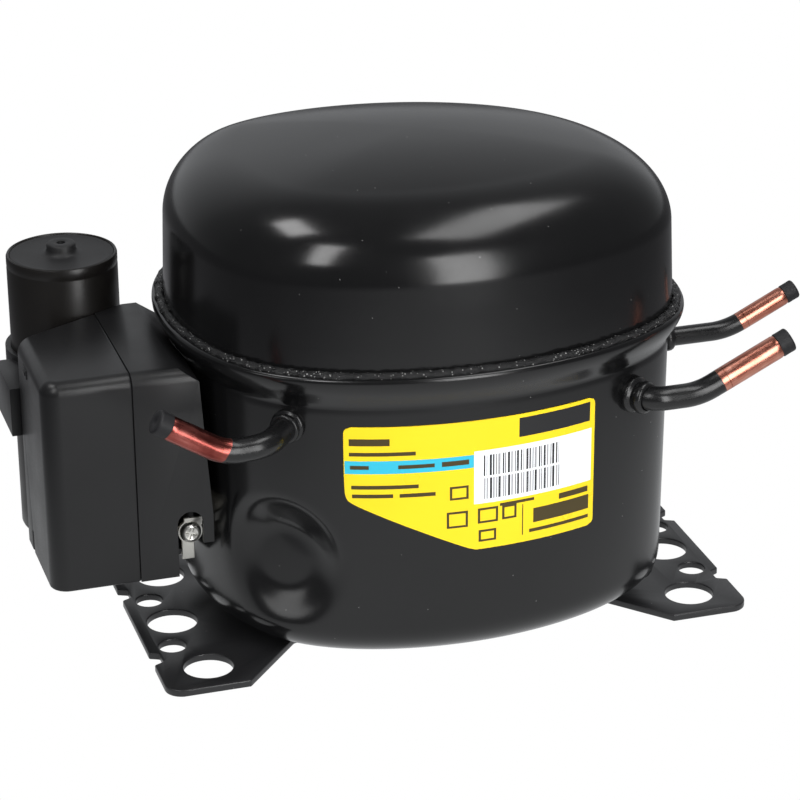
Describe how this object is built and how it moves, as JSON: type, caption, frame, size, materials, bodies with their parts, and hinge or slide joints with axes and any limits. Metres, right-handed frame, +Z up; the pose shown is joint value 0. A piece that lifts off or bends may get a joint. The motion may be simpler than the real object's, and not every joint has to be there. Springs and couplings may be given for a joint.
{
  "type": "hermetic reciprocating compressor",
  "caption": "Oval welded hermetic refrigeration compressor on two feet, with copper stubs, electrical box and start capacitor, and the sprung motor pump modelled inside",
  "frame": {"origin": "centre of the four 16.5 mm mounting holes, at the underside of the feet", "axes": "+Z up, X along the 170 mm hole spacing with the suction and discharge connectors towards +X and the electrical box towards -X, +Y to the back"},
  "size_m": [0.2698, 0.1497, 0.1675],
  "materials": {
    "shell_paint": "satin",
    "weld_paint": "rough",
    "foot_paint": "satin",
    "collar_paint": "satin",
    "copper_plate": "satin",
    "seal_rubber": "matt",
    "label_film": "gloss",
    "glass_metal": "satin",
    "zinc_steel": "satin",
    "box_plastic": "satin",
    "relay_plastic": "matt",
    "coil_winding": "satin",
    "protector_case": "matt",
    "terminal_plastic": "matt",
    "terminal_brass": "satin",
    "can_plastic": "satin",
    "can_deck": "matt",
    "lamination_steel": "satin",
    "motor_winding": "gloss",
    "grey_iron": "rough",
    "gasket_paper": "matt",
    "spring_steel": "satin",
    "machined_steel": "polished",
    "muffler_plastic": "matt",
    "rotor_aluminium": "satin",
    "steel_tube": "satin"
  },
  "bodies": {
    "housing": {"lower_shell": "shell_paint", "upper_shell": "shell_paint", "seam_weld": "weld_paint", "foot_left": "foot_paint", "foot_right": "foot_paint", "foot_welds": "weld_paint", "suction_tube": "copper_plate", "suction_collar": "collar_paint", "process_tube": "copper_plate", "process_collar": "collar_paint", "discharge_tube": "copper_plate", "discharge_collar": "collar_paint", "rating_label": "label_film", "terminal_cup": "glass_metal", "terminal_pins": "zinc_steel", "earth_tab": "zinc_steel", "earth_screw": "zinc_steel", "box_base": "box_plastic", "start_relay_case": "relay_plastic", "relay_coil": "coil_winding", "overload_protector": "protector_case", "terminal_block": "terminal_plastic", "terminal_block_screws": "terminal_brass", "capacitor_can": "can_plastic", "capacitor_top": "can_deck", "capacitor_clip": "box_plastic", "lower_spring_seats": "machined_steel", "support_springs": "spring_steel", "discharge_line": "steel_tube"},
    "box_cover": {"box_cover": "box_plastic"},
    "relay_plunger": {"relay_plunger": "machined_steel"},
    "suction_seal": {"suction_seal": "seal_rubber"},
    "process_seal": {"process_seal": "seal_rubber"},
    "discharge_seal": {"discharge_seal": "seal_rubber"},
    "pump_unit": {"stator_core": "lamination_steel", "stator_windings": "motor_winding", "crankcase": "grey_iron", "valve_gasket": "gasket_paper", "valve_plate": "machined_steel", "discharge_reed_stop": "machined_steel", "cylinder_head": "grey_iron", "head_screws": "zinc_steel", "stator_screws": "zinc_steel", "upper_spring_seats": "muffler_plastic", "suction_muffler": "muffler_plastic", "discharge_muffler": "grey_iron"},
    "suction_reed": {"suction_reed": "spring_steel"},
    "discharge_reed": {"discharge_reed": "spring_steel"},
    "crank": {"crankshaft": "machined_steel", "rotor_core": "lamination_steel", "rotor_end_rings": "rotor_aluminium", "counterweight": "machined_steel", "oil_pickup": "machined_steel"},
    "slide_block": {"slide_block": "machined_steel"},
    "oil_gallery_plug": {"oil_gallery_plug": "machined_steel"},
    "piston": {"piston": "grey_iron"}
  },
  "joints": [
    {"name": "box_cover_off", "type": "slide", "parent": "housing", "child": "box_cover", "axis": [-0.8876, -0.4606, 0], "range_m": [0, 0.045]},
    {"name": "relay_plunger_lift", "type": "slide", "parent": "housing", "child": "relay_plunger", "axis": [0, 0, 1], "range_m": [0, 0.0024]},
    {"name": "suction_seal_off", "type": "slide", "parent": "housing", "child": "suction_seal", "axis": [0.8984, 0, 0.4393], "range_m": [0, 0.03]},
    {"name": "process_seal_off", "type": "slide", "parent": "housing", "child": "process_seal", "axis": [-0.8442, 0, 0.536], "range_m": [0, 0.03]},
    {"name": "discharge_seal_off", "type": "slide", "parent": "housing", "child": "discharge_seal", "axis": [0.8979, 0, 0.4403], "range_m": [0, 0.03]},
    {"name": "pump_float", "type": "slide", "parent": "housing", "child": "pump_unit", "axis": [0, 0, 1], "range_m": [-0.0025, 0.0025], "stiffness_N_per_m": 20000, "springref_m": 0.00226, "deforming": ["support_springs", "discharge_line"]},
    {"name": "suction_reed_flex", "type": "hinge", "parent": "pump_unit", "child": "suction_reed", "pos_m": [0.04653, -0.01636, 0.1276], "axis": [0.309, 0.9511, 0], "range_deg": [-3, 0], "stiffness_Nm_per_rad": 0.02},
    {"name": "discharge_reed_flex", "type": "hinge", "parent": "pump_unit", "child": "discharge_reed", "pos_m": [0.05216, -0.00873, 0.1216], "axis": [0.309, 0.9511, 0], "range_deg": [0, 3], "stiffness_Nm_per_rad": 0.02},
    {"name": "crank_turn", "type": "hinge", "parent": "pump_unit", "child": "crank", "pos_m": [-0.0022, 0.0042, 0], "axis": [0, 0, 1], "continuous": true},
    {"name": "slide_block_turn", "type": "hinge", "parent": "crank", "child": "slide_block", "pos_m": [0.00435, 0.00754, 0.131], "axis": [0, 0, 1], "continuous": true},
    {"name": "gallery_plug_turn", "type": "hinge", "parent": "crank", "child": "oil_gallery_plug", "pos_m": [0.00107, 0.00587, 0.137], "axis": [0, 0, 1], "continuous": true},
    {"name": "piston_stroke", "type": "hinge", "parent": "oil_gallery_plug", "child": "piston", "pos_m": [0.00274, 0.00259, 0.131], "axis": [0, 0, 1], "continuous": true}
  ],
  "couplings": [
    {"joint": "slide_block_turn", "follows": "crank_turn", "ratio": -1},
    {"joint": "gallery_plug_turn", "follows": "crank_turn", "ratio": -2},
    {"joint": "piston_stroke", "follows": "crank_turn", "ratio": 1}
  ]
}
